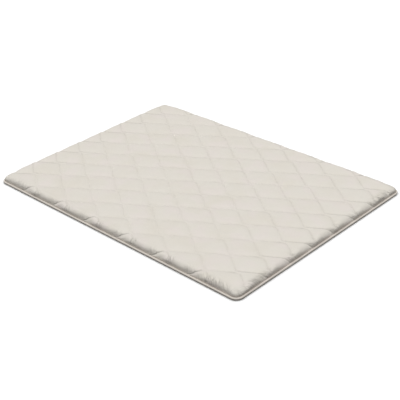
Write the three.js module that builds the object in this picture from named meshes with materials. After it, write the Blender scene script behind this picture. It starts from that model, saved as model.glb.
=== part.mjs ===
import * as THREE from "three";

// A thin quilted mattress lying open and flat: one filled pad, and the piping sewn round its edge.
// Millimetres. X runs along the long side, Y across, Z up from the face it rests on.

// Overall size
const LENGTH = 1950;
const WIDTH = 1410;
const HEIGHT = 50;
const CORNER_RADIUS = 45;

// Piping round the edge seam
const PIPING_RADIUS = 6;
const PIPING_CENTRE_Z = 10.5;
const PIPING_SIDES = 8;
const SEWING_GAP = 0.3;

// Base of the pad: where its flat face ends, and the cloth turned up from it below the piping
const BASE_INSET = 6.5;
const TURN_INSET = 2.6;
const TURN_Z = 2.4;

// Shoulder between the seam and the top: round and steep in the cells, a straight ramp at the stitching
const SHOULDER_AT_CELLS = 20;
const SHOULDER_AT_STITCHING = 27;
const RAMP_POWER = 1.9;
const SHOULDER_LINES = [0, 1.2, 5, 12, 24];

// Filling: how much lower the top lies at the ends and at the long sides than in the middle
const FALL_AT_ENDS = 2;
const FALL_AT_SIDES = 1;

// Quilting: zigzag waves of stitching that meet in nodes and leave diamond cells. Each wave takes longer to rise
// than to fall, and the waves of even and odd rows start a little to the left and right of their nodes.
const CELLS_ALONG = 7;
const CELL_LENGTH = LENGTH / CELLS_ALONG;
const ROW_PITCH = 91.6;
const WAVE_HEIGHT = 42;
const RISE_SHARE = 0.57;
const BEND = 0.9;
const START_OF_EVEN = -8;
const START_OF_ODD = 3;
const STITCH_DEPTH = 7;
const PUFF_REACH = 45;
const PUFF_POWER = 2.4;
const STEPS_PER_CELL = 8;
const STEPS_PER_ROW = 4;

const HALF_LENGTH = LENGTH / 2;
const HALF_WIDTH = WIDTH / 2;
const FACE_ANGLE = Math.PI / PIPING_SIDES;
const POCKET_RADIUS = PIPING_RADIUS + SEWING_GAP / Math.cos(FACE_ANGLE);
const SEAM_INSET = PIPING_RADIUS + POCKET_RADIUS * Math.SQRT1_2;
const SEAM_Z = PIPING_CENTRE_Z + POCKET_RADIUS * Math.SQRT1_2;

// Grid lines from one side to the other: close together on the shoulders, then in step with the stitching.
function gridLines(half, step) {
  const edge = half - SEAM_INSET;
  const inner = edge - SHOULDER_LINES[SHOULDER_LINES.length - 1];
  const count = Math.floor((inner - step / 3) / step);
  const lines = [];
  for (const inset of SHOULDER_LINES) {
    lines.push(inset - edge);
  }
  for (let i = -count; i <= count; i += 1) {
    lines.push(i * step);
  }
  for (const inset of [...SHOULDER_LINES].reverse()) {
    lines.push(edge - inset);
  }
  return lines;
}

// The centre that a corner turns about, or the nearest point to it on the inner rectangle.
function coreOf(x, y) {
  const cx = THREE.MathUtils.clamp(x, CORNER_RADIUS - HALF_LENGTH, HALF_LENGTH - CORNER_RADIUS);
  const cy = THREE.MathUtils.clamp(y, CORNER_RADIUS - HALF_WIDTH, HALF_WIDTH - CORNER_RADIUS);
  return [cx, cy];
}

// Moves a point of the square grid so that the grid's four corners become round.
function rounded(x, y) {
  const [cx, cy] = coreOf(x, y);
  const dx = x - cx;
  const dy = y - cy;
  const reach = Math.max(Math.abs(dx), Math.abs(dy));
  const away = Math.hypot(dx, dy);
  const scale = away > 0 ? reach / away : 1;
  return [cx + dx * scale, cy + dy * scale];
}

// How far a point lies inside the outline.
function insetOf(x, y) {
  const [cx, cy] = coreOf(x, y);
  const away = Math.hypot(x - cx, y - cy);
  const core = Math.min(HALF_LENGTH - Math.abs(x), HALF_WIDTH - Math.abs(y));
  return away > 0 ? CORNER_RADIUS - away : core;
}

// The half cell that a point lies in: its row, whether the wave rises there, and the point's place within it.
function quiltBlock(x, y) {
  const column = Math.floor(x / (CELL_LENGTH / 2));
  const row = Math.floor(y / ROW_PITCH);
  const rising = (((column + row) % 2) + 2) % 2 === 0;
  const along = x / (CELL_LENGTH / 2) - column;
  return { row, rising, diagonal: rising ? along : 1 - along, across: y / ROW_PITCH - row };
}

// Place of a row's wave across the row, from 0 at one line of nodes to 1 at the next.
function waveAt(x, row) {
  const start = row % 2 === 0 ? START_OF_EVEN : START_OF_ODD + CELL_LENGTH / 2;
  const turns = (x - start) / CELL_LENGTH;
  const phase = turns - Math.floor(turns);
  const part = phase < RISE_SHARE ? phase / RISE_SHARE : (1 - phase) / (1 - RISE_SHARE);
  return 0.5 + ((WAVE_HEIGHT / ROW_PITCH) * Math.sin(BEND * (2 * part - 1))) / Math.sin(BEND);
}

// Shifts a grid point across, so that the diagonals of the grid become waves.
function waved(x, y) {
  const { row, diagonal, across } = quiltBlock(x, y);
  const step = 1 / STEPS_PER_ROW;
  const line = THREE.MathUtils.clamp(diagonal, step, 1 - step);
  const wave = waveAt(x, row);
  const below = (across * wave) / line;
  const above = 1 - ((1 - across) * (1 - wave)) / (1 - line);
  return [x, (row + (across < line ? below : above)) * ROW_PITCH];
}

// Distance from a point to the nearest wave, of its own row or of the rows beside it.
function stitchDistance(x, y) {
  const { row } = quiltBlock(x, y);
  let nearest = Infinity;
  for (const each of [row - 1, row, row + 1]) {
    const gap = Math.abs(y - (each + waveAt(x, each)) * ROW_PITCH);
    const slope = (waveAt(x + 1, each) - waveAt(x - 1, each)) * (ROW_PITCH / 2);
    nearest = Math.min(nearest, gap / Math.hypot(1, slope));
  }
  return nearest;
}

// 0 on a row of stitching, 1 on the full height of a cell.
function puff(x, y) {
  const part = Math.min(stitchDistance(x, y) / PUFF_REACH, 1);
  return 1 - (1 - part) ** PUFF_POWER;
}

// Height of the top over a point of the plan.
function topHeight(x, y) {
  const along = Math.abs(x) / HALF_LENGTH;
  const across = Math.abs(y) / HALF_WIDTH;
  const full = HEIGHT - FALL_AT_ENDS * along ** 3 - FALL_AT_SIDES * across ** 2;
  const raised = puff(x, y);
  const quilted = full - STITCH_DEPTH * (1 - raised);
  const width = THREE.MathUtils.lerp(SHOULDER_AT_STITCHING, SHOULDER_AT_CELLS, raised);
  const left = 1 - THREE.MathUtils.clamp((insetOf(x, y) - SEAM_INSET) / width, 0, 1);
  const shoulder = THREE.MathUtils.lerp(1 - left ** RAMP_POWER, Math.sqrt(1 - left ** 2), raised);
  return SEAM_Z + (quilted - SEAM_Z) * shoulder;
}

// The outline's point beside a point of the edge, at an inset from it.
function edgePoint([x, y], inset, z) {
  const [cx, cy] = coreOf(x, y);
  const away = Math.hypot(x - cx, y - cy);
  const scale = (CORNER_RADIUS - inset) / away;
  return [cx + (x - cx) * scale, cy + (y - cy) * scale, z];
}

function closedMesh(name, points, faces, look) {
  const geometry = new THREE.BufferGeometry();
  geometry.setAttribute("position", new THREE.Float32BufferAttribute(points.flat(), 3));
  geometry.setIndex(faces.flat());
  geometry.computeVertexNormals();
  const mesh = new THREE.Mesh(geometry, new THREE.MeshStandardMaterial(look));
  mesh.name = name;
  return mesh;
}

const columns = gridLines(HALF_LENGTH, CELL_LENGTH / STEPS_PER_CELL);
const rows = gridLines(HALF_WIDTH, ROW_PITCH / STEPS_PER_ROW);

// The grid's edge points, once round counter-clockwise from the corner at -X and -Y.
function edgeIndices() {
  const last = { column: columns.length - 1, row: rows.length - 1 };
  const loop = [];
  for (let i = 0; i < last.column; i += 1) {
    loop.push([i, 0]);
  }
  for (let j = 0; j < last.row; j += 1) {
    loop.push([last.column, j]);
  }
  for (let i = last.column; i > 0; i -= 1) {
    loop.push([i, last.row]);
  }
  for (let j = last.row; j > 0; j -= 1) {
    loop.push([0, j]);
  }
  return loop;
}

const edge = edgeIndices();
const stations = edge.map(([i, j]) => rounded(columns[i], rows[j]));

// Section of the pad below its top seam: round the piping's pocket, then out, down and in to the flat face.
function sideSection() {
  const section = [];
  for (const turn of [0, -1]) {
    const angle = (turn * Math.PI) / 4;
    section.push({
      inset: PIPING_RADIUS + POCKET_RADIUS * Math.cos(angle),
      z: PIPING_CENTRE_Z + POCKET_RADIUS * Math.sin(angle),
    });
  }
  section.push({ inset: PIPING_RADIUS, z: PIPING_CENTRE_Z - POCKET_RADIUS });
  section.push({ inset: TURN_INSET, z: TURN_Z });
  section.push({ inset: BASE_INSET, z: 0 });
  return section;
}

function makePad() {
  const points = [];
  const faces = [];
  const at = (i, j) => j * columns.length + i;
  const lastNecks = Math.floor((HALF_WIDTH - SEAM_INSET) / ROW_PITCH) * ROW_PITCH;
  for (const y of rows) {
    for (const x of columns) {
      const [px, py] = Math.abs(y) < lastNecks ? waved(x, y) : rounded(x, y);
      points.push([px, py, topHeight(px, py)]);
    }
  }
  for (let j = 0; j + 1 < rows.length; j += 1) {
    for (let i = 0; i + 1 < columns.length; i += 1) {
      const middle = [(columns[i] + columns[i + 1]) / 2, (rows[j] + rows[j + 1]) / 2];
      const [a, b, c, d] = [at(i, j), at(i + 1, j), at(i + 1, j + 1), at(i, j + 1)];
      if (quiltBlock(...middle).rising) {
        faces.push([a, b, c], [a, c, d]);
      } else {
        faces.push([a, b, d], [b, c, d]);
      }
    }
  }
  let upper = edge.map(([i, j]) => at(i, j));
  for (const { inset, z } of sideSection()) {
    const lower = stations.map((station) => points.push(edgePoint(station, inset, z)) - 1);
    upper.forEach((top, k) => {
      const next = (k + 1) % upper.length;
      faces.push([top, lower[k], lower[next]], [top, lower[next], upper[next]]);
    });
    upper = lower;
  }
  const middle = points.push([0, 0, 0]) - 1;
  upper.forEach((rim, k) => {
    faces.push([rim, middle, upper[(k + 1) % upper.length]]);
  });
  return closedMesh("mattress", points, faces, {
    color: "#ded9d1",
    roughness: 0.9,
    metalness: 0,
  });
}

function makePiping() {
  const points = [];
  const faces = [];
  stations.forEach((station, k) => {
    const next = (k + 1) % stations.length;
    for (let side = 0; side < PIPING_SIDES; side += 1) {
      const angle = (2 * Math.PI * side) / PIPING_SIDES;
      const inset = PIPING_RADIUS - PIPING_RADIUS * Math.cos(angle);
      points.push(edgePoint(station, inset, PIPING_CENTRE_Z + PIPING_RADIUS * Math.sin(angle)));
      const beside = (side + 1) % PIPING_SIDES;
      const [a, b] = [k * PIPING_SIDES + side, next * PIPING_SIDES + side];
      const [c, d] = [next * PIPING_SIDES + beside, k * PIPING_SIDES + beside];
      faces.push([a, b, c], [a, c, d]);
    }
  });
  return closedMesh("piping", points, faces, {
    color: "#cfc2b7",
    roughness: 0.8,
    metalness: 0,
  });
}

const part = new THREE.Group();
part.name = "quilted_mattress";
part.add(makePad(), makePiping());

export default part;
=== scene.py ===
import math

import bmesh
import bpy
import numpy as np
from mathutils import Matrix, Vector, noise


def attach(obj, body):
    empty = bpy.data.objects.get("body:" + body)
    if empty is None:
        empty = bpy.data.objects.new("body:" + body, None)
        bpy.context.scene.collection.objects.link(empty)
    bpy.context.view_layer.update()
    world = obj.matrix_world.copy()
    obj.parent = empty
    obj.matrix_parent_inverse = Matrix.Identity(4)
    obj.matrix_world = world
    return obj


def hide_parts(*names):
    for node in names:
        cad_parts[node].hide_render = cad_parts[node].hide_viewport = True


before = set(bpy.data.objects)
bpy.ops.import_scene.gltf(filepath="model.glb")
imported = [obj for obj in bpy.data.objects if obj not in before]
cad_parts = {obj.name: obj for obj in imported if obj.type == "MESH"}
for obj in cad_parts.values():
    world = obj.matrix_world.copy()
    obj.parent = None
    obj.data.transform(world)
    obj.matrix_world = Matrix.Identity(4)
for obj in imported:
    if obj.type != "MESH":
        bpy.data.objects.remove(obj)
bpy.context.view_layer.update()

# Sizes in metres, the same as the solids have

LENGTH = 1.950
WIDTH = 1.410
HEIGHT = 0.050
CORNER_RADIUS = 0.045
PIPING_RADIUS = 0.006
PIPING_Z = 0.0105

# Top: a little higher towards the edges, and lower in the corners

RISE_AT_EDGE = 0.0025
CORNER_FALL = 0.013
CORNER_FALL_REACH = 0.100

# Quilting: zigzag waves of stitching that meet in nodes and leave diamond cells

CELLS_ALONG = 7
CELL_LENGTH = LENGTH / CELLS_ALONG
ROW_PITCH = 0.0916
WAVE_HEIGHT = 0.042
RISE_SHARE = 0.57
BEND = 0.9
START_OF_EVEN = -0.008
START_OF_ODD = 0.003
STITCH_DEPTH = 0.007
MIDDLE_SHARE = 0.72
DEEP_ZONE = 0.080
STITCH_LENGTH = 0.0042
RUN_PER_LENGTH = 1.2

# Top cloth: squares to a half cell, and the lines of the grid on the shoulder above the seam

SQUARES = 8
STEP_X = CELL_LENGTH / 2 / SQUARES
STEP_Y = ROW_PITCH / SQUARES
LAST_GAP = 0.45
SHOULDER_INSETS = (0.0120, 0.0128, 0.0150, 0.0195)
SEAM_INSET = SHOULDER_INSETS[0]
SEAM_Z = 0.0150
SHOULDER_WIDTH = 0.030
STEEP_POWER = 2.5
STITCHED_WIDTH = 0.045
STITCHED_POWER = 2.4
BULGE = 0.0025
BULGE_POWER = 0.8

# Length of cloth between the seam and each inset

CLIMB_OF_INSETS = (
    (0.0120, 0.0),
    (0.0128, 0.0124),
    (0.0150, 0.0220),
    (0.0195, 0.0340),
    (0.0294, 0.0500),
    (1, 1.021),
)

# Wadding: how far the cloth is laid up over a cell, and how far it is blown up from there

PUFF_REACH = 0.040
SHARP_REACH = 0.009
SOFT_REACH = 0.022
SOFT_DEPTH = 0.35
SLOW_REACH = 0.075
SLOW_POWER = 0.8
EDGE_ZONE = 0.050
PUFF_POWER = 2.4
LAID_SHARE = 0.60
FACET_START = 0.15
FACET_MARGIN = 0.06
FAR_SIDE_DEPTH = 0.3
FAR_SIDE_WIDTH = 0.12
FAR_SIDE_BLEND = 0.03
CORNER_ZONE = 0.100
PUFF_HEIGHT = 0.0042
BLOW_STEPS = 20

# Lumps of the filling: size, depth and seed of each kind, and how far from the stitching they are full

LUMPS = ((0.120, 0.0010, 1.3), (0.045, 0.0006, 5.9))
LUMP_START = 0.020

# Channels along the stitching, deeper towards the far right corner

CHANNEL_DEPTH = 0.0010
CHANNEL_HALF = 0.0042
CHANNEL_CHANGE = 0.8
CHANNEL_BLEND = 0.04
CHANNEL_DELAY = 0.4
CHANNEL_PULL = 0.5
RISING_SHARE = 0.45

# Creases at the edge: how far they slant aside at each climb, their size, and the shares of the milder ones

CORNER_GAP = 0.100
CORNER_BLEND = 0.05
SIDE_SLANT = ((0, 0.028), (0.034, -0.014), (0.055, -0.028), (0.085, 0))
SIDE_SLANT_WIDTH = 0.045
END_SLANT = 0.028
END_SLANT_WIDTH = 0.040
END_SLANT_REACH = 0.055
CREASE_DEPTH = 0.0030
CREASE_HALF = 0.0045
CREASE_START = 0.006
CREASE_REACH = 0.085
CREASE_LEAN = 0.7
FALLING_SHARE = 0.35
END_CREASE_SHARE = 0.55

# Lines of painted shade along rising and falling rows: at the edge, by the ends, and on top towards the far
# right

EDGE_SHARPNESS = 1.8
END_LINES = (0.25, 0.10)
END_LINES_WIDTH = 0.20
END_LINES_BLEND = 0.05
TOP_LINES = (0.06, 0.15)
TOP_LINES_START = -0.1

# Gathers: size, depth and seed of each kind, their strength, and where they lie and how wide

GATHERS = ((0.024, 0.0010, 3.7), (0.060, 0.0014, 9.1))
GATHER_REACH = 0.080
GATHER_LEAST = 0.5
GATHER_MORE = 0.8
GATHER_LIFT = 0.7
GATHER_PUSH = 0.9
MILD_GATHERS = 0.6
CORNER_GATHERS = 0.9
LEFT_GATHERS = 0.3
BESIDE_FALLING = (0.020, 0.024)
BESIDE_RISING = (0.026, 0.020)
BESIDE_ROW = (0.026, 0.020)
BY_CORNER = (0.17, 0.10)

# Side below the seam: inset from the outline and height, round the back of the piping and under it

BASE_INSET = 0.0065
SIDE_SECTION = ((0.0124, 0.0105), (0.0105, 0.0050), (0.0060, 0.0036), (0.0032, 0.0018))
UNDER_CHANNEL = 0.0022
UNDER_CHANNEL_HALF = 0.009
SEAM_BLEND = 0.02

# Piping: points to a corner, cuts to a straight run, and roundness

CORNER_STEPS = 14
RUN_CUTS = 220
ROUNDNESS = 5
LEAST_RUN = 0.1

# Small distances that tell points apart

TINY = 1e-9
NUDGE = 1e-6
WELD_REACH = 0.00001
SEAM_TOLERANCE = 0.0002
SIDE_TOLERANCE = 0.0005
STITCH_TOLERANCE = 0.0008
ROW_TOLERANCE = 0.001
SLOPE_STEP = 0.001
SHOULDER_TOLERANCE = 0.002
DIAGONAL_TOLERANCE = 0.006
PIN_HALF = 0.006
END_BLEND = 0.01

# Values worked out from the sizes

ROW_SLOPE = math.atan2(2 * WAVE_HEIGHT, RISE_SHARE * CELL_LENGTH)
HALF_LENGTH = LENGTH / 2
HALF_WIDTH = WIDTH / 2


def lines_to_shoulder(half, step):
    """How many lines of the grid fit between the middle and the shoulder."""
    return int((half - SHOULDER_INSETS[-1] - step * LAST_GAP) / step)


# Last lines of the grid before the shoulder, and where the stitching comes down beside the outermost nodes

LAST_COLUMN = STEP_X * lines_to_shoulder(HALF_LENGTH, STEP_X)
LAST_ROW = STEP_Y * lines_to_shoulder(HALF_WIDTH, STEP_Y)
NODE_ROW = ROW_PITCH * int(HALF_WIDTH / ROW_PITCH)
FOOT = (LAST_ROW - NODE_ROW) / STEP_Y * STEP_X


# Plan of the mattress: a rectangle with round corners


def clamp(value, low, high):
    return np.minimum(np.maximum(value, low), high)


def hump(distance, width):
    """1 at no distance, and close to 0 from two widths on."""
    return np.exp(-(distance / width) ** 2)


def core_of(p):
    """The nearest point of the inner rectangle that the corners turn about."""
    core = np.zeros_like(p)
    core[:, 0] = clamp(p[:, 0], CORNER_RADIUS - HALF_LENGTH, HALF_LENGTH - CORNER_RADIUS)
    core[:, 1] = clamp(p[:, 1], CORNER_RADIUS - HALF_WIDTH, HALF_WIDTH - CORNER_RADIUS)
    return core


def round_corners(p):
    core = core_of(p)
    away = p - core
    reach = np.abs(away[:, :2]).max(axis=1)
    length = np.hypot(away[:, 0], away[:, 1])
    scale = np.where(length > 0, reach / np.maximum(length, TINY), 1.0)
    out = p.copy()
    out[:, :2] = core[:, :2] + away[:, :2] * scale[:, None]
    return out


def inset_of(p):
    """How far points lie inside the outline of the piping."""
    core = core_of(p)
    length = np.hypot(p[:, 0] - core[:, 0], p[:, 1] - core[:, 1])
    inner = np.minimum(HALF_LENGTH - np.abs(p[:, 0]), HALF_WIDTH - np.abs(p[:, 1]))
    return np.where(length > 0, CORNER_RADIUS - length, inner)


def outward(p):
    """The direction away from the middle, level with the ground, at points near the edge."""
    away = p - core_of(p)
    away[:, 2] = 0
    length = np.hypot(away[:, 0], away[:, 1])
    return away / np.maximum(length, TINY)[:, None]


def set_inset(p, inset):
    """Moves points near the edge to an inset from the outline."""
    core = core_of(p)
    away = p[:, :2] - core[:, :2]
    length = np.hypot(away[:, 0], away[:, 1])
    return core[:, :2] + away * ((CORNER_RADIUS - inset) / length)[:, None]


def corner_distance(p):
    """Distance from the nearest corner of the outline, as if it were square."""
    return np.hypot(HALF_LENGTH - np.abs(p[:, 0]), HALF_WIDTH - np.abs(p[:, 1]))


def climb(p):
    """How far places on the flat cloth are from the edge seam, up the side and over the top."""
    insets, lengths = zip(*CLIMB_OF_INSETS)
    return np.interp(inset_of(p), insets, lengths)


# Waves of stitching, which run straight down the shoulder to the edge seam


def half_cell_of(p):
    """The half cell of each point: its column and row, and whether its wave rises there."""
    column = np.floor(clamp(p[:, 0], -LAST_COLUMN, LAST_COLUMN) / (CELL_LENGTH / 2) + NUDGE)
    row = np.floor(p[:, 1] / ROW_PITCH + NUDGE)
    return column, row, np.mod(column + row, 2) < 0.5


def wave_at(x, row):
    """Place of a row's wave across the row, from 0 at one line of nodes to 1 at the next."""
    x = clamp(x, -LAST_COLUMN, LAST_COLUMN)
    start = np.where(np.mod(row, 2) < 0.5, START_OF_EVEN, START_OF_ODD + CELL_LENGTH / 2)
    phase = np.mod((x - start) / CELL_LENGTH, 1)
    part = np.where(phase < RISE_SHARE, phase / RISE_SHARE, (1 - phase) / (1 - RISE_SHARE))
    return 0.5 + WAVE_HEIGHT / ROW_PITCH * np.sin(BEND * (2 * part - 1)) / math.sin(BEND)


def beside_wave(p, row):
    """Distance of each point from its row's wave: positive above it and negative below."""
    rise = wave_at(p[:, 0] + SLOPE_STEP, row) - wave_at(p[:, 0] - SLOPE_STEP, row)
    slope = rise * ROW_PITCH / (2 * SLOPE_STEP)
    gap = p[:, 1] - (row + wave_at(p[:, 0], row)) * ROW_PITCH
    return gap / np.sqrt(1 + slope ** 2)


def from_node(p):
    """Distance along a long side from the nearest outermost node, away from its rising stitching."""
    return (np.mod(p[:, 0] / CELL_LENGTH, 1) - 0.5) * CELL_LENGTH * -np.sign(p[:, 1])


def beside_foot(p):
    """Distance along a long side from the nearest stitching: negative between the two of one node."""
    return np.abs(from_node(p)) - FOOT


def from_rising_foot(p):
    """Distance along an end from the nearest rising stitching that comes down it."""
    row = np.where(p[:, 0] > 0, 0, -1)
    foot = (row + wave_at(np.sign(p[:, 0]), row)) * ROW_PITCH
    return (np.mod((p[:, 1] - foot) / (2 * ROW_PITCH) + 0.5, 1) - 0.5) * 2 * ROW_PITCH


def at_end(p):
    """1 at the two ends of the mattress, and 0 along its long sides and in the middle."""
    return clamp((np.abs(p[:, 0]) - LAST_COLUMN) / END_BLEND + 1, 0, 1) * (np.abs(p[:, 1]) < LAST_ROW)


def from_corner(p):
    """Grows towards the corners, where there is no stitching."""
    return clamp(CORNER_ZONE - corner_distance(p), 0, CORNER_ZONE)


def stitch_distance(p):
    """Distance from the nearest stitching, which fades out towards the corners."""
    _, row, _ = half_cell_of(p)
    distances = [np.abs(beside_wave(p, row + step)) for step in (-1, 0, 1)]
    nearest = np.where(np.abs(p[:, 1]) > LAST_ROW, np.abs(beside_foot(p)), np.min(distances, axis=0))
    return nearest + from_corner(p)


def in_facet(p):
    """Whether points lie in the small triangles between an outermost node and the seam of a long side."""
    _, row, _ = half_cell_of(p)
    beyond = (p[:, 1] - (row + wave_at(p[:, 0], row)) * ROW_PITCH) * np.sign(p[:, 1]) > 0
    inside = np.where(np.abs(p[:, 1]) > LAST_ROW, beside_foot(p) < 0, beyond)
    return inside & (np.abs(p[:, 1]) > NODE_ROW) & (np.abs(p[:, 0]) < HALF_LENGTH - FACET_MARGIN)


def waved(p, squares):
    """Shifts the lines of a grid across, so that the diagonals of its squares become waves."""
    column, row, rising = half_cell_of(p)
    along = clamp(p[:, 0], -LAST_COLUMN, LAST_COLUMN) / (CELL_LENGTH / 2) - column
    across = p[:, 1] / ROW_PITCH - row
    diagonal = clamp(np.where(rising, along, 1 - along), 1 / squares, 1 - 1 / squares)
    wave = wave_at(p[:, 0], row)
    below = across * wave / diagonal
    above = 1 - (1 - across) * (1 - wave) / (1 - diagonal)
    out = p.copy()
    out[:, 1] = (row + np.where(across < diagonal, below, above)) * ROW_PITCH
    return out


# Small tools for meshes


def deselect_all():
    if bpy.context.object and bpy.context.object.mode != "OBJECT":
        bpy.ops.object.mode_set(mode="OBJECT")
    bpy.ops.object.select_all(action="DESELECT")


def take_up(piece):
    deselect_all()
    piece.select_set(True)
    bpy.context.view_layer.objects.active = piece


def weld(piece):
    """Joins the points of a piece that lie in one place."""
    take_up(piece)
    bpy.ops.object.mode_set(mode="EDIT")
    bpy.ops.mesh.select_all(action="SELECT")
    bpy.ops.mesh.remove_doubles(threshold=WELD_REACH)
    bpy.ops.object.mode_set(mode="OBJECT")


def points_of(piece):
    flat = np.zeros(len(piece.data.vertices) * 3)
    piece.data.vertices.foreach_get("co", flat)
    return flat.reshape(-1, 3)


def move_points(piece, points):
    piece.data.vertices.foreach_set("co", np.asarray(points, float).ravel())
    piece.data.update()


def noise_at(p, size, seed):
    return np.array([noise.noise(Vector((x / size, y / size, seed))) for x, y, _ in p])


def smooth_cloth(cloth):
    """Halves the squares of a cloth and rounds them."""
    finer = cloth.modifiers.new("finer", "SUBSURF")
    finer.levels = 1
    finer.render_levels = 1
    finer.boundary_smooth = "PRESERVE_CORNERS"
    take_up(cloth)
    bpy.ops.object.modifier_apply(modifier="finer")


def select_rim():
    bpy.ops.mesh.select_mode(type="EDGE")
    bpy.ops.mesh.select_all(action="DESELECT")
    bpy.ops.mesh.select_non_manifold(extend=False, use_boundary=True, use_wire=False,
                                     use_multi_face=False, use_non_contiguous=False, use_verts=False)


def grid_lines(half, step):
    count = lines_to_shoulder(half, step)
    level = [step * i for i in range(-count, count + 1)]
    outer = [half - inset for inset in SHOULDER_INSETS]
    return np.array([-place for place in outer] + level + outer[::-1])


def flat_places(cloth):
    """Where the points of a cloth were on the flat."""
    flat = np.zeros(len(cloth.data.vertices) * 3)
    cloth.data.attributes["flat_place"].data.foreach_get("vector", flat)
    return flat.reshape(-1, 3)


def slant_creases(p):
    """Leads the lines of the grid along the creases, which slant over the shoulder to the seam."""
    reach = climb(p)
    stitched = clamp((corner_distance(p) - CORNER_GAP) / CORNER_BLEND, 0, 1)
    out = p.copy()
    close = hump(from_node(p) + FOOT, SIDE_SLANT_WIDTH) * stitched * (np.abs(p[:, 1]) > NODE_ROW)
    out[:, 0] += np.sign(p[:, 1]) * np.interp(reach, *zip(*SIDE_SLANT)) * close
    close = hump(from_rising_foot(p), END_SLANT_WIDTH) * stitched * (np.abs(p[:, 0]) > LAST_COLUMN)
    out[:, 1] += np.sign(p[:, 0]) * END_SLANT * (1 - clamp(reach / END_SLANT_REACH, 0, 1)) * close
    return out


def lay_grid(name, columns, rows, squares):
    """A flat cloth whose grid has its lines at the given places, waved along the stitching."""
    deselect_all()
    bpy.ops.mesh.primitive_grid_add(x_subdivisions=len(columns) - 1, y_subdivisions=len(rows) - 1, size=2)
    cloth = bpy.context.object
    cloth.name = name
    p = points_of(cloth)
    column = np.rint((p[:, 0] + 1) / 2 * (len(columns) - 1)).astype(int)
    row = np.rint((p[:, 1] + 1) / 2 * (len(rows) - 1)).astype(int)
    p[:, 0] = columns[column]
    p[:, 1] = rows[row]
    level = np.abs(p[:, 1]) < HALF_WIDTH - SHOULDER_INSETS[-1] - ROW_TOLERANCE
    p[level] = waved(p[level], squares)
    p = round_corners(p)
    cloth.data.attributes.new("flat_place", "FLOAT_VECTOR", "POINT").data.foreach_set("vector", p.ravel())
    move_points(cloth, slant_creases(p))
    return cloth


# Top cloth


def crown(p):
    """Height of the cloth over the middle of a cell, higher by the edges and lower in the corners."""
    fall = CORNER_FALL * hump(corner_distance(p), CORNER_FALL_REACH)
    return HEIGHT + RISE_AT_EDGE * near_seam(p, EDGE_ZONE) - fall


def near_seam(p, zone):
    """1 at the edge seam, and close to 0 from two zones in."""
    return hump(inset_of(p) - SEAM_INSET, zone)


def in_from_seam(p):
    """0 at the edge seam, and 1 from a little way in."""
    return clamp((inset_of(p) - SEAM_INSET) / SEAM_BLEND, 0, 1)


def raised_at(p):
    """How far the cloth is raised beside its stitching, from 0 on it to 1 over the middle of a cell."""
    _, row, rising = half_cell_of(p)
    distance = stitch_distance(p)
    inner = 1 - (1 - clamp(distance / PUFF_REACH, 0, 1)) ** PUFF_POWER
    sharp = 1 - (1 - clamp(distance / SHARP_REACH, 0, 1)) ** PUFF_POWER
    soft = 1 - SOFT_DEPTH * (1 - clamp(distance / SOFT_REACH, 0, 1)) ** PUFF_POWER
    slow = clamp(distance / SLOW_REACH, 0, 1) ** SLOW_POWER
    in_front = (np.abs(p[:, 1]) < NODE_ROW) & (beside_wave(p, row) * np.sign(p[:, 0]) < 0)
    facet = FACET_START + (1 - FACET_START) * clamp(from_node(p) / (2 * FOOT) + 0.5, 0, 1)
    edge = np.where(in_facet(p), facet, np.where(rising, np.where(in_front, slow, sharp), soft))
    past_far_rows = np.maximum(p[:, 1] - NODE_ROW, -p[:, 0] - HALF_LENGTH + FAR_SIDE_WIDTH)
    far_side = clamp(past_far_rows / FAR_SIDE_BLEND, 0, 1)
    edge = 1 - (1 - edge) * (1 - (1 - FAR_SIDE_DEPTH) * far_side)
    return inner + (edge - inner) * near_seam(p, EDGE_ZONE)


def laid_height(p, share):
    """Height of the cloth with its cells raised by a share of their depth, and drawn down to the seam."""
    raised = raised_at(p)
    by_seam = near_seam(p, SHOULDER_WIDTH)
    depth = STITCH_DEPTH * (MIDDLE_SHARE + (1 - MIDDLE_SHARE) * near_seam(p, DEEP_ZONE))
    top = crown(p) - depth * (1 - raised * share * (1 + (1 / LAID_SHARE - 1) * by_seam))
    left = 1 - clamp((inset_of(p) - SEAM_INSET) / SHOULDER_WIDTH, 0, 1)
    steep = (1 - left ** STEEP_POWER) ** (1 / STEEP_POWER)
    left = 1 - clamp((inset_of(p) - SEAM_INSET) / STITCHED_WIDTH, 0, 1)
    stitched = 1 - left ** STITCHED_POWER
    return SEAM_Z + (top - SEAM_Z) * (stitched + (steep - stitched) * raised)


def lay_over_wadding(p, flat):
    """The flat cloth laid over the wadding, with its sides bulging out over the seam."""
    laid = p.copy()
    laid[:, 2] = laid_height(flat, LAID_SHARE)
    height = clamp((laid[:, 2] - SEAM_Z) / (HEIGHT - SEAM_Z), 0, 1)
    push = BULGE * raised_at(flat) * np.sin(math.pi * height ** BULGE_POWER)
    laid[:, :2] += outward(flat)[:, :2] * push[:, None]
    return laid


def pin_stitching(cloth):
    """Holds the cloth at the edge seam and along the stitching, and less firmly on the shoulder."""
    flat = flat_places(cloth)
    inset = inset_of(flat)
    distance = stitch_distance(flat)
    on_shoulder = (inset < SHOULDER_INSETS[-1] + SHOULDER_TOLERANCE) * hump(distance, PIN_HALF)
    held = (distance < STITCH_TOLERANCE) | (inset < SEAM_INSET + SEAM_TOLERANCE)
    hold = np.where(held, 1.0, on_shoulder)
    group = cloth.vertex_groups.new(name="stitching")
    for level in (1.0, 0.75, 0.5, 0.25):
        near = np.flatnonzero(np.abs(hold - level) <= 0.125)
        group.add([int(i) for i in near], level, "REPLACE")
    return group


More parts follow.
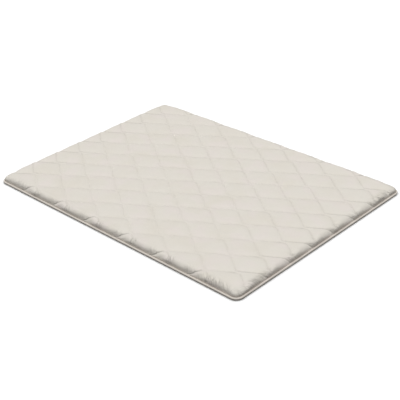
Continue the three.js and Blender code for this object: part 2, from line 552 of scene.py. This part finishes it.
def fill_with_wadding(cloth):
    """Blows the cells up between their rows of stitching, and stops them at the depth of the wadding."""
    group = pin_stitching(cloth)
    p = lay_over_wadding(points_of(cloth), flat_places(cloth))
    move_points(cloth, p)
    blow = cloth.modifiers.new("wadding", "CLOTH")
    settings = blow.settings
    settings.quality = 6
    settings.mass = 0.3
    settings.tension_stiffness = 12
    settings.compression_stiffness = 12
    settings.shear_stiffness = 4
    settings.bending_stiffness = 0.3
    settings.air_damping = 2
    settings.use_pressure = True
    settings.uniform_pressure_force = 14
    settings.shrink_min = -0.02
    settings.vertex_group_mass = group.name
    settings.effector_weights.gravity = 0
    blow.collision_settings.use_collision = False
    blow.collision_settings.use_self_collision = False
    blow.point_cache.frame_start = 1
    blow.point_cache.frame_end = BLOW_STEPS
    scene = bpy.context.scene
    for number in range(1, BLOW_STEPS + 1):
        scene.frame_set(number)
    take_up(cloth)
    bpy.ops.object.modifier_apply(modifier="wadding")
    scene.frame_set(1)
    moved = points_of(cloth) - p
    length = np.linalg.norm(moved, axis=1)
    kept = PUFF_HEIGHT * (1 - np.exp(-length / PUFF_HEIGHT))
    move_points(cloth, p + moved * (kept / np.maximum(length, TINY))[:, None])


def towards_far_right(p):
    """From -1 in the near left corner to 1 in the far right one."""
    return (p[:, 0] / HALF_LENGTH + p[:, 1] / HALF_WIDTH) / 2


def crease_shade_strength(p, rising):
    """How strong the line of painted shade along the stitching is: at the edge, by the ends, and on top at
    the far right.
    """
    at_edge = clamp(EDGE_SHARPNESS - EDGE_SHARPNESS * climb(p) / CREASE_REACH, 0, 1)
    at_edge *= np.where(rising, 1.0, FALLING_SHARE)
    at_edge *= 1 - (1 - END_CREASE_SHARE) * at_end(p)
    past_end = np.abs(p[:, 0]) - HALF_LENGTH + END_LINES_WIDTH
    to_end = clamp(past_end / END_LINES_BLEND, 0, 1) * np.where(rising, *END_LINES)
    on_top = clamp(towards_far_right(p) - TOP_LINES_START, 0, 1) * np.where(rising, *TOP_LINES)
    return np.maximum(np.maximum(at_edge, on_top), to_end)


def pull_stitching(cloth):
    """Draws the cloth down in a narrow channel along every row of stitching."""
    p = points_of(cloth)
    flat = flat_places(cloth)
    _, _, rising = half_cell_of(flat)
    tighter = (1 + CHANNEL_CHANGE * towards_far_right(flat)) * np.where(rising, RISING_SHARE, 1.0)
    near = hump(stitch_distance(flat), CHANNEL_HALF)
    near = near * clamp(climb(flat) / CHANNEL_BLEND - CHANNEL_DELAY, 0, 1)
    p[:, 2] += (laid_height(flat, 0) - p[:, 2]) * near * in_from_seam(flat) * CHANNEL_PULL
    p[:, 2] -= CHANNEL_DEPTH * tighter * near
    move_points(cloth, p)


def crease_edge(cloth):
    """Sharp creases where the stitching comes down to the seam, the deepest along the rising rows."""
    p = points_of(cloth)
    flat = flat_places(cloth)
    _, _, rising = half_cell_of(flat)
    reach = climb(flat)
    depth = CREASE_DEPTH * hump(stitch_distance(flat), CREASE_HALF)
    depth *= np.where(rising, 1.0, FALLING_SHARE) * (1 - (1 - END_CREASE_SHARE) * at_end(flat))
    depth *= clamp(reach / CREASE_START, 0, 1) * clamp(1 - reach / CREASE_REACH, 0, 1)
    p[:, :2] -= outward(flat)[:, :2] * (depth * CREASE_LEAN)[:, None]
    p[:, 2] -= depth * CREASE_LEAN
    move_points(cloth, p)


def lump_wadding(cloth):
    """Uneven filling, which makes some cells higher than others and each a little uneven."""
    p = points_of(cloth)
    flat = flat_places(cloth)
    raised = clamp(stitch_distance(flat) / LUMP_START, 0, 1) * in_from_seam(flat)
    for size, depth, seed in LUMPS:
        p[:, 2] += depth * noise_at(flat, size, seed) * raised
    move_points(cloth, p)


def gathering(p):
    """How strongly the cloth is gathered along the seam: beside the stitching and towards the corners."""
    out = outward(p)
    on_long_side = np.abs(out[:, 1]) > np.abs(out[:, 0])
    place, width = BESIDE_FALLING
    beside_falling = hump(from_node(p) - FOOT - place, width)
    place, width = BESIDE_RISING
    beside_rising = MILD_GATHERS * hump(from_node(p) + FOOT + place, width)
    place, width = BESIDE_ROW
    from_row = (np.mod(p[:, 1] / (2 * ROW_PITCH), 1) - 0.5) * 2 * ROW_PITCH
    beside_row = MILD_GATHERS * hump(np.abs(from_row) - place, width)
    place, width = BY_CORNER
    by_corner = CORNER_GATHERS * hump(corner_distance(p) - place, width)
    strength = np.where(on_long_side, np.maximum(beside_falling, beside_rising), beside_row)
    to_right = clamp(p[:, 0] / LENGTH + 0.6, 0, 1)
    return np.maximum(strength, by_corner) * (LEFT_GATHERS + (1 - LEFT_GATHERS) * to_right)


def gather_edge(cloth):
    """Folds that run in from the edge seam, where the cloth is fuller than the piping it is sewn to."""
    p = points_of(cloth)
    flat = flat_places(cloth)
    reach = climb(flat)
    close = np.flatnonzero(reach < GATHER_REACH)
    q = flat[close]
    out = outward(q)
    part = reach[close] / GATHER_REACH
    strength = np.sin(math.pi * part ** 0.5) * (1 - part) * (GATHER_LEAST + GATHER_MORE * gathering(q))
    spread = q + out * (reach[close] - inset_of(q))[:, None]
    lift = np.zeros(len(q))
    for size, depth, seed in GATHERS:
        lift += depth * noise_at(spread, size, seed)
    lift *= strength
    p[close, 2] += lift * GATHER_LIFT
    p[close, :2] += out[:, :2] * (lift * GATHER_PUSH)[:, None]
    move_points(cloth, p)


# Underside and the side below the seam


def lay_bottom_cloth(columns, rows):
    """The flat underside, with shallow channels, and a rim that comes out under the piping."""
    cloth = lay_grid("bottom_cloth", columns, rows, SQUARES)
    bpy.ops.object.mode_set(mode="EDIT")
    bpy.ops.mesh.select_all(action="SELECT")
    bpy.ops.mesh.flip_normals()
    select_rim()
    bpy.ops.mesh.subdivide(number_cuts=1, ngon=True, quadcorner="INNERVERT")
    bpy.ops.object.mode_set(mode="OBJECT")
    p = points_of(cloth)
    rim = inset_of(p) < SEAM_INSET + SEAM_TOLERANCE
    p[rim, :2] = set_inset(p[rim], BASE_INSET)
    p[:, 2] = UNDER_CHANNEL * hump(stitch_distance(p), UNDER_CHANNEL_HALF) * in_from_seam(p)
    move_points(cloth, p)
    weld(cloth)
    return cloth


def close_side(top, bottom):
    """Sews the top and the bottom together below the piping."""
    deselect_all()
    bottom.select_set(True)
    top.select_set(True)
    bpy.context.view_layer.objects.active = top
    bpy.ops.object.join()
    before = len(top.data.vertices)
    bpy.ops.object.mode_set(mode="EDIT")
    select_rim()
    bpy.ops.mesh.bridge_edge_loops(number_cuts=len(SIDE_SECTION), interpolation="LINEAR")
    bpy.ops.object.mode_set(mode="OBJECT")
    p = points_of(top)
    added = np.arange(len(p)) >= before
    level = np.rint((1 - p[:, 2] / SEAM_Z) * (len(SIDE_SECTION) + 1)).astype(int) - 1
    for number, (inset, z) in enumerate(SIDE_SECTION):
        ring = added & (level == number)
        p[ring, :2] = set_inset(p[ring], inset)
        p[ring, 2] = z
    move_points(top, p)


def crease_stitching(piece):
    """Splits the squares that a row of stitching crosses from corner to corner, along the stitching."""
    grid = bmesh.new()
    grid.from_mesh(piece.data)
    grid.faces.ensure_lookup_table()
    corners = points_of(piece)
    distance = stitch_distance(corners)
    squares = [face for face in grid.faces if len(face.verts) == 4]
    for face in squares:
        a, b, c, d = face.verts
        first = distance[a.index] + distance[c.index]
        second = distance[b.index] + distance[d.index]
        if min(first, second) < DIAGONAL_TOLERANCE:
            pair = (a, c) if first < second else (b, d)
            bmesh.utils.face_split(face, *pair)
    grid.to_mesh(piece.data)
    grid.free()


def along_seam(p, middle):
    """Distance along the edge seam from the middle of the near side; middle tells which side it is."""
    straight = core_of(p)
    out = outward(p)
    long_side = HALF_WIDTH - np.abs(middle[:, 1]) < HALF_LENGTH - np.abs(middle[:, 0])
    by_side = straight[:, 0] + np.arctan2(out[:, 0], np.abs(out[:, 1])) * CORNER_RADIUS
    by_end = straight[:, 1] + np.arctan2(out[:, 1], np.abs(out[:, 0])) * CORNER_RADIUS
    quarter = (LENGTH + WIDTH) / 2 + (math.pi / 2 - 2) * CORNER_RADIUS
    beyond = np.where(middle[:, 0] > 0, quarter + by_end, 3 * quarter - by_end)
    return np.where(long_side, np.where(middle[:, 1] < 0, by_side, 2 * quarter - by_side), beyond)


def map_cloth(piece):
    """Maps the cloth as it lay flat, its run along the stitching, and its run along the edge seam."""
    mesh = piece.data
    corner = np.zeros(len(mesh.loops), int)
    mesh.loops.foreach_get("vertex_index", corner)
    size = np.zeros(len(mesh.polygons), int)
    mesh.polygons.foreach_get("loop_total", size)
    centre = np.zeros(len(mesh.polygons) * 3)
    mesh.polygons.foreach_get("center", centre)
    face = np.repeat(np.arange(len(mesh.polygons)), size)
    centre = centre.reshape(-1, 3)
    _, row, rising = half_cell_of(centre)
    on_shoulder = (np.abs(centre[:, 1]) > LAST_ROW)[face]
    p = points_of(piece)
    flat_place = np.where(p[:, 2:] > SEAM_Z - SEAM_TOLERANCE, flat_places(piece), p)[corner]
    p = p[corner]
    side = np.where(on_shoulder, beside_foot(flat_place), beside_wave(flat_place, row[face]))
    side += np.where(side < 0, -1, 1) * from_corner(p)
    below_seam = centre[:, 2] < SEAM_Z - SIDE_TOLERANCE
    side += (below_seam & (inset_of(centre) < SEAM_INSET + SIDE_TOLERANCE))[face]
    run = p[:, 0] * RUN_PER_LENGTH
    drop = (crown(p) - p[:, 2])[:, None]
    flat = p[:, :2] + outward(p)[:, :2] * drop
    # The second value of the gathering map is how strong the painted shade line along the stitching is
    lines = crease_shade_strength(flat_place, rising[face])
    maps = (("cloth_run", flat),
            ("stitch_run", np.stack([run, side], 1)),
            ("edge_run", np.stack([along_seam(p, centre[face]), climb(flat_place)], 1)),
            ("gathering", np.stack([gathering(flat_place), lines], 1)))
    for layer in list(mesh.uv_layers):
        mesh.uv_layers.remove(layer)
    for name, values in maps:
        layer = mesh.uv_layers.new(name=name)
        layer.data.foreach_set("uv", values.ravel())


# Piping


def outline_loop(inset, z, steps):
    """A closed line round the mattress, inside its outline by an inset, with so many steps to a corner."""
    half = (HALF_LENGTH - inset, HALF_WIDTH - inset)
    radius = CORNER_RADIUS - inset
    deselect_all()
    bpy.ops.mesh.primitive_plane_add(size=2, location=(0, 0, 0))
    loop = bpy.context.object
    bpy.ops.object.mode_set(mode="EDIT")
    bpy.ops.transform.resize(value=(half[0], half[1], 1))
    bpy.ops.mesh.bevel(offset=radius, segments=steps, affect="VERTICES", offset_type="OFFSET")
    bpy.ops.mesh.delete(type="ONLY_FACE")
    bpy.ops.mesh.select_all(action="SELECT")
    bpy.ops.transform.translate(value=(0, 0, z))
    bpy.ops.object.mode_set(mode="OBJECT")
    return loop


def make_piping():
    loop = outline_loop(PIPING_RADIUS, PIPING_Z, CORNER_STEPS)
    mesh = loop.data
    runs = []
    for edge in mesh.edges:
        start, end = (mesh.vertices[index].co for index in edge.vertices)
        if (start - end).length > LEAST_RUN:
            runs.append(edge.index)
    bpy.ops.object.mode_set(mode="EDIT")
    bpy.ops.mesh.select_mode(type="EDGE")
    bpy.ops.mesh.select_all(action="DESELECT")
    bpy.ops.object.mode_set(mode="OBJECT")
    for index in runs:
        mesh.edges[index].select = True
    bpy.ops.object.mode_set(mode="EDIT")
    bpy.ops.mesh.subdivide(number_cuts=RUN_CUTS)
    bpy.ops.object.mode_set(mode="OBJECT")
    bpy.ops.object.convert(target="CURVE")
    curve = bpy.context.object
    curve.data.bevel_depth = PIPING_RADIUS
    curve.data.bevel_resolution = ROUNDNESS
    bpy.ops.object.convert(target="MESH")
    piping = bpy.context.object
    piping.name = "covered_piping"
    bpy.ops.object.mode_set(mode="EDIT")
    bpy.ops.mesh.select_all(action="SELECT")
    bpy.ops.mesh.remove_doubles(threshold=WELD_REACH)
    bpy.ops.mesh.normals_make_consistent(inside=False)
    bpy.ops.object.mode_set(mode="OBJECT")
    bpy.ops.object.shade_smooth()
    return piping


# Materials: colours, with shade painted into channels, creases, gathers and along the seam, the widths that
# show beside the stitching, and the spacing of the threads

CREAM = (0.595, 0.566, 0.514)
WARM_CREAM = (0.571, 0.533, 0.466)
ROSY_CREAM = (0.607, 0.560, 0.526)
SHADED_CREAM = (0.500, 0.430, 0.365)
THREAD = (0.700, 0.670, 0.610)
BEIGE = (0.600, 0.553, 0.500)
PALE_GREY = (0.86, 0.86, 0.86)
THREAD_HALF = 0.0003
THREAD_EDGE = 0.0007
HOLE_EDGE = 0.0009
CHANNEL_SHADE = 0.014
CREASE_SHADE_HALF = 0.0010
CREASE_SHADE_EDGE = 0.0060
COTTON_SPACING = 0.0008
PIPING_SPACING = 0.0009
BAND_SCALE = 0.314
RELIEF = 0.001


def new_material(name, colour, roughness):
    material = bpy.data.materials.new(name)
    material.use_nodes = True
    shader = material.node_tree.nodes["Principled BSDF"]
    shader.inputs["Base Color"].default_value = (*colour, 1)
    shader.inputs["Roughness"].default_value = roughness
    shader.inputs["Specular IOR Level"].default_value = 0.25
    return material


def new_cloth(name, colour, roughness):
    """A matt material with the faint sheen of cotton."""
    material = new_material(name, colour, roughness)
    shader = material.node_tree.nodes["Principled BSDF"]
    shader.inputs["Sheen Weight"].default_value = 0.08
    shader.inputs["Sheen Roughness"].default_value = 0.5
    return material


def add_node(tree, kind, settings, sockets):
    node = tree.nodes.new(kind)
    for name, value in settings.items():
        setattr(node, name, value)
    for name, value in sockets.items():
        if isinstance(value, bpy.types.NodeSocket):
            tree.links.new(value, node.inputs[name])
        else:
            node.inputs[name].default_value = value
    return node


def reckon(tree, operation, first, second=0.0):
    return add_node(tree, "ShaderNodeMath", {"operation": operation}, {0: first, 1: second}).outputs[0]


def fade(tree, value, start, end, low, high):
    """Goes smoothly from low at start to high at end."""
    node = add_node(tree, "ShaderNodeMapRange", {"interpolation_type": "SMOOTHSTEP"},
                    {"Value": value, "From Min": start, "From Max": end, "To Min": low, "To Max": high})
    return node.outputs["Result"]


def uv_map(tree, name):
    return add_node(tree, "ShaderNodeUVMap", {"uv_map": name}, {}).outputs["UV"]


def stretched(tree, vector, scale):
    node = add_node(tree, "ShaderNodeMapping", {}, {"Vector": vector, "Scale": scale})
    return node.outputs["Vector"]


def mottle(tree, vector, scale, detail):
    node = add_node(tree, "ShaderNodeTexNoise", {}, {"Vector": vector, "Scale": scale, "Detail": detail})
    return node.outputs["Fac"]


def weave(tree, vector, thread, turned):
    """Height of crossing threads, from 0 to 1; thread is their spacing."""
    turn = (0, 0, math.radians(turned))
    node = add_node(tree, "ShaderNodeMapping", {}, {"Vector": vector, "Rotation": turn})
    sockets = {"Vector": node.outputs["Vector"], "Scale": BAND_SCALE / thread, "Distortion": 0.6,
               "Detail": 1.0, "Detail Scale": 2.0}
    bands = []
    for direction in ("X", "Y"):
        settings = {"wave_type": "BANDS", "bands_direction": direction}
        bands.append(add_node(tree, "ShaderNodeTexWave", settings, sockets).outputs["Fac"])
    return reckon(tree, "MULTIPLY", bands[0], bands[1])


def tint(tree, colour, factor, towards):
    node = add_node(tree, "ShaderNodeMix", {"data_type": "RGBA", "blend_type": "MIX"}, {0: factor})
    first, second = [s for s in node.inputs if s.type == "RGBA"]
    if isinstance(colour, bpy.types.NodeSocket):
        tree.links.new(colour, first)
    else:
        first.default_value = (*colour, 1)
    second.default_value = (*towards, 1)
    return [s for s in node.outputs if s.type == "RGBA"][0]


def darker(colour, share):
    return tuple(channel * share for channel in colour)


def raise_surface(tree, height, distance):
    node = add_node(tree, "ShaderNodeBump", {}, {"Height": height, "Distance": distance, "Strength": 1.0})
    tree.links.new(node.outputs["Normal"], tree.nodes["Principled BSDF"].inputs["Normal"])


def gather_lines(tree, edge, climbed):
    """Fine leaning folds that run in from the seam, from 0 to 1, where the cloth is gathered."""
    leaning = add_node(tree, "ShaderNodeVectorMath", {"operation": "DOT_PRODUCT"},
                       {0: edge, 1: (1, 0.5, 0)}).outputs["Value"]
    place = add_node(tree, "ShaderNodeCombineXYZ", {}, {"X": leaning, "Y": climbed}).outputs["Vector"]
    spread = mottle(tree, stretched(tree, place, (85, 13, 1)), 1.0, 1.0)
    off_line = reckon(tree, "ABSOLUTE", reckon(tree, "SUBTRACT", spread, 0.5))
    line = fade(tree, off_line, 0.0, 0.080, 1, 0)
    strengths = add_node(tree, "ShaderNodeSeparateXYZ", {}, {"Vector": uv_map(tree, "gathering")})
    line = reckon(tree, "MULTIPLY", line, strengths.outputs["X"])
    line = reckon(tree, "MULTIPLY", line, fade(tree, climbed, 0.002, 0.010, 0, 1))
    return reckon(tree, "MULTIPLY", line, fade(tree, climbed, 0.040, 0.080, 1, 0))


def cream_cotton():
    """Plain cream cotton with stitching, channels, creases and gathers, and fine uneven ripples, and shade
    painted into its channels, creases, gathers, stitch holes and along the edge seam.
    """
    material = new_cloth("cream_cotton", CREAM, 0.88)
    tree = material.node_tree
    shader = tree.nodes["Principled BSDF"]
    cloth = uv_map(tree, "cloth_run")
    stitch = uv_map(tree, "stitch_run")
    edge = uv_map(tree, "edge_run")
    parts = add_node(tree, "ShaderNodeSeparateXYZ", {}, {"Vector": stitch})
    beside = reckon(tree, "ABSOLUTE", parts.outputs["Y"])
    beat = reckon(tree, "SINE", reckon(tree, "MULTIPLY", parts.outputs["X"], 2 * math.pi / STITCH_LENGTH))
    thread = fade(tree, beside, THREAD_HALF, THREAD_EDGE, 1, 0)
    thread = reckon(tree, "MULTIPLY", thread, fade(tree, beat, -0.8, -0.4, 0, 1))
    hole = fade(tree, beside, THREAD_HALF, HOLE_EDGE, 1, 0)
    hole = reckon(tree, "MULTIPLY", hole, fade(tree, beat, -1.0, -0.7, 1, 0))
    channel = fade(tree, beside, 0.0, CHANNEL_SHADE, 1, 0)
    climbed = add_node(tree, "ShaderNodeSeparateXYZ", {}, {"Vector": edge}).outputs["Y"]
    gathers = gather_lines(tree, edge, climbed)
    strengths = add_node(tree, "ShaderNodeSeparateXYZ", {}, {"Vector": uv_map(tree, "gathering")})
    # Line of painted shade along the crease beside the stitching
    crease_shade = fade(tree, beside, CREASE_SHADE_HALF, CREASE_SHADE_EDGE, 1, 0)
    crease_shade = reckon(tree, "MULTIPLY", crease_shade, strengths.outputs["Y"])

    broad = mottle(tree, cloth, 5.0, 3.0)
    flecks = mottle(tree, cloth, 700.0, 2.0)
    threads = weave(tree, cloth, COTTON_SPACING, 0)
    patches = mottle(tree, cloth, 8.0, 1.0)
    colour = tint(tree, CREAM, fade(tree, broad, 0.35, 0.75, 0, 0.5), WARM_CREAM)
    colour = tint(tree, colour, fade(tree, patches, 0.45, 0.65, 0, 0.6), ROSY_CREAM)
    colour = tint(tree, colour, fade(tree, flecks, 0.5, 0.8, 0, 0.25), darker(CREAM, 0.85))
    # Painted shade: the cloth is made darker in a channel beside the stitching, by a share that varies in
    # patches
    channel_shade_share = fade(tree, mottle(tree, cloth, 9.0, 2.0), 0.35, 0.65, 0.04, 0.22)
    colour = tint(tree, colour, reckon(tree, "MULTIPLY", channel, channel_shade_share), darker(WARM_CREAM, 0.84))
    # Painted shade: darker and browner low on the side, close to the edge seam
    colour = tint(tree, colour, fade(tree, climbed, 0.0, 0.030, 0.30, 0), SHADED_CREAM)
    # Painted shade in the gather folds, which the bump also raises
    colour = tint(tree, colour, reckon(tree, "MULTIPLY", gathers, 0.50), darker(WARM_CREAM, 0.42))
    # Painted shade: a dark line in the creases along the stitching
    colour = tint(tree, colour, reckon(tree, "MULTIPLY", crease_shade, 0.85), darker(WARM_CREAM, 0.30))
    colour = tint(tree, colour, thread, THREAD)
    # Painted shade in the stitch holes
    colour = tint(tree, colour, hole, darker(CREAM, 0.45))
    tree.links.new(colour, shader.inputs["Base Color"])
    tree.links.new(fade(tree, flecks, 0.3, 0.8, 0.82, 0.95), shader.inputs["Roughness"])

    puckers = mottle(tree, stretched(tree, stitch, (90, 22, 1)), 1.0, 2.0)
    puckers = reckon(tree, "MULTIPLY", puckers, fade(tree, beside, 0.001, 0.024, 0.9, 0))
    along_rows = add_node(tree, "ShaderNodeMapping", {}, {"Vector": cloth, "Rotation": (0, 0, -ROW_SLOPE)})
    ripples = mottle(tree, stretched(tree, along_rows.outputs["Vector"], (9, 48, 1)), 1.0, 2.0)
    ripples = reckon(tree, "MULTIPLY", ripples, 0.7)
    folds = mottle(tree, stretched(tree, edge, (75, 9, 1)), 1.0, 2.0)
    folds = reckon(tree, "MULTIPLY", folds, fade(tree, climbed, 0.030, 0.090, 1.2, 0))
    gathers_in = reckon(tree, "MULTIPLY", gathers, -2.2)
    height = reckon(tree, "MULTIPLY", threads, 0.10)
    for part in (puckers, ripples, folds, gathers_in, reckon(tree, "MULTIPLY", thread, 0.35)):
        height = reckon(tree, "ADD", height, part)
    height = reckon(tree, "SUBTRACT", height, reckon(tree, "MULTIPLY", hole, 0.4))
    raise_surface(tree, height, RELIEF)
    return material


def beige_piping():
    """Plain beige cloth, cut on the slant, over the cord of the piping."""
    material = new_cloth("beige_piping", BEIGE, 0.85)
    tree = material.node_tree
    shader = tree.nodes["Principled BSDF"]
    place = add_node(tree, "ShaderNodeTexCoord", {}, {}).outputs["Object"]
    threads = weave(tree, place, PIPING_SPACING, 45)
    broad = mottle(tree, place, 14.0, 3.0)
    colour = tint(tree, BEIGE, fade(tree, broad, 0.3, 0.7, 0, 0.5), darker(BEIGE, 0.88))
    colour = tint(tree, colour, fade(tree, threads, 0.0, 0.5, 0.35, 0), darker(BEIGE, 0.8))
    tree.links.new(colour, shader.inputs["Base Color"])
    puckers = mottle(tree, place, 110.0, 2.0)
    height = reckon(tree, "MULTIPLY", threads, 0.12)
    height = reckon(tree, "ADD", height, reckon(tree, "MULTIPLY", puckers, 0.5))
    raise_surface(tree, height, RELIEF)
    return material


# The pieces


def make_pad():
    columns = grid_lines(HALF_LENGTH, STEP_X)
    rows = grid_lines(HALF_WIDTH, STEP_Y)
    pad = lay_grid("quilted_pad", columns, rows, SQUARES)
    fill_with_wadding(pad)
    smooth_cloth(pad)
    pull_stitching(pad)
    crease_edge(pad)
    lump_wadding(pad)
    gather_edge(pad)
    close_side(pad, lay_bottom_cloth(columns, rows))
    crease_stitching(pad)
    map_cloth(pad)
    take_up(pad)
    bpy.ops.object.shade_smooth()
    return pad


def finish_piece(piece, node, material):
    piece.data.materials.clear()
    piece.data.materials.append(material)
    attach(piece, "root")
    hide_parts(node)


pad = make_pad()
piping = make_piping()
finish_piece(pad, "mattress", cream_cotton())
finish_piece(piping, "piping", beige_piping())

# Floor, light and camera


def lay_floor():
    deselect_all()
    bpy.ops.mesh.primitive_circle_add(vertices=96, radius=60, fill_type="NGON", location=(0, 0, 0))
    floor = bpy.context.object
    floor.name = "pale_floor"
    floor.data.materials.append(new_material("pale_floor", PALE_GREY, 0.9))
    floor.visible_diffuse = False


def hang_lights():
    world = bpy.data.worlds.new("pale_room")
    bpy.context.scene.world = world
    world.use_nodes = True
    background = world.node_tree.nodes["Background"]
    background.inputs["Color"].default_value = (1, 1, 1, 1)
    background.inputs["Strength"].default_value = 0.08
    bpy.ops.object.light_add(type="SUN", location=(0, -1, 4))
    sun = bpy.context.object
    sun.name = "soft_top_light"
    sun.data.energy = 3.75
    sun.data.angle = math.radians(100)
    toward = Vector((-0.08, 0.11, -1.0)).normalized()
    sun.rotation_mode = "QUATERNION"
    sun.rotation_quaternion = toward.to_track_quat("-Z", "Y")


def place_camera():
    """Stands the camera where the photograph was taken from, turned a little about its own axis."""
    azimuth = math.radians(45.46)
    elevation = math.radians(29.68)
    roll = math.radians(-3.15)
    target = Vector((0.129, -0.087, 0))
    distance = 5.513
    focal_pixels = 948.2
    picture_pixels = 400
    sensor_width = 36
    flat = math.cos(elevation)
    back = Vector((math.sin(azimuth) * flat, -math.cos(azimuth) * flat, math.sin(elevation)))
    level_right = (-back).cross(Vector((0, 0, 1))).normalized()
    level_up = level_right.cross(-back)
    right = level_right * math.cos(roll) + level_up * math.sin(roll)
    up = level_up * math.cos(roll) - level_right * math.sin(roll)
    bpy.ops.object.camera_add()
    camera = bpy.context.object
    camera.name = "photo_camera"
    place = Matrix((right, up, back)).transposed().to_4x4()
    place.translation = target + back * distance
    camera.matrix_world = place
    camera.data.sensor_width = sensor_width
    camera.data.lens = focal_pixels / picture_pixels * sensor_width
    bpy.context.scene.camera = camera


lay_floor()
hang_lights()
place_camera()
bpy.context.scene.view_settings.view_transform = "Standard"

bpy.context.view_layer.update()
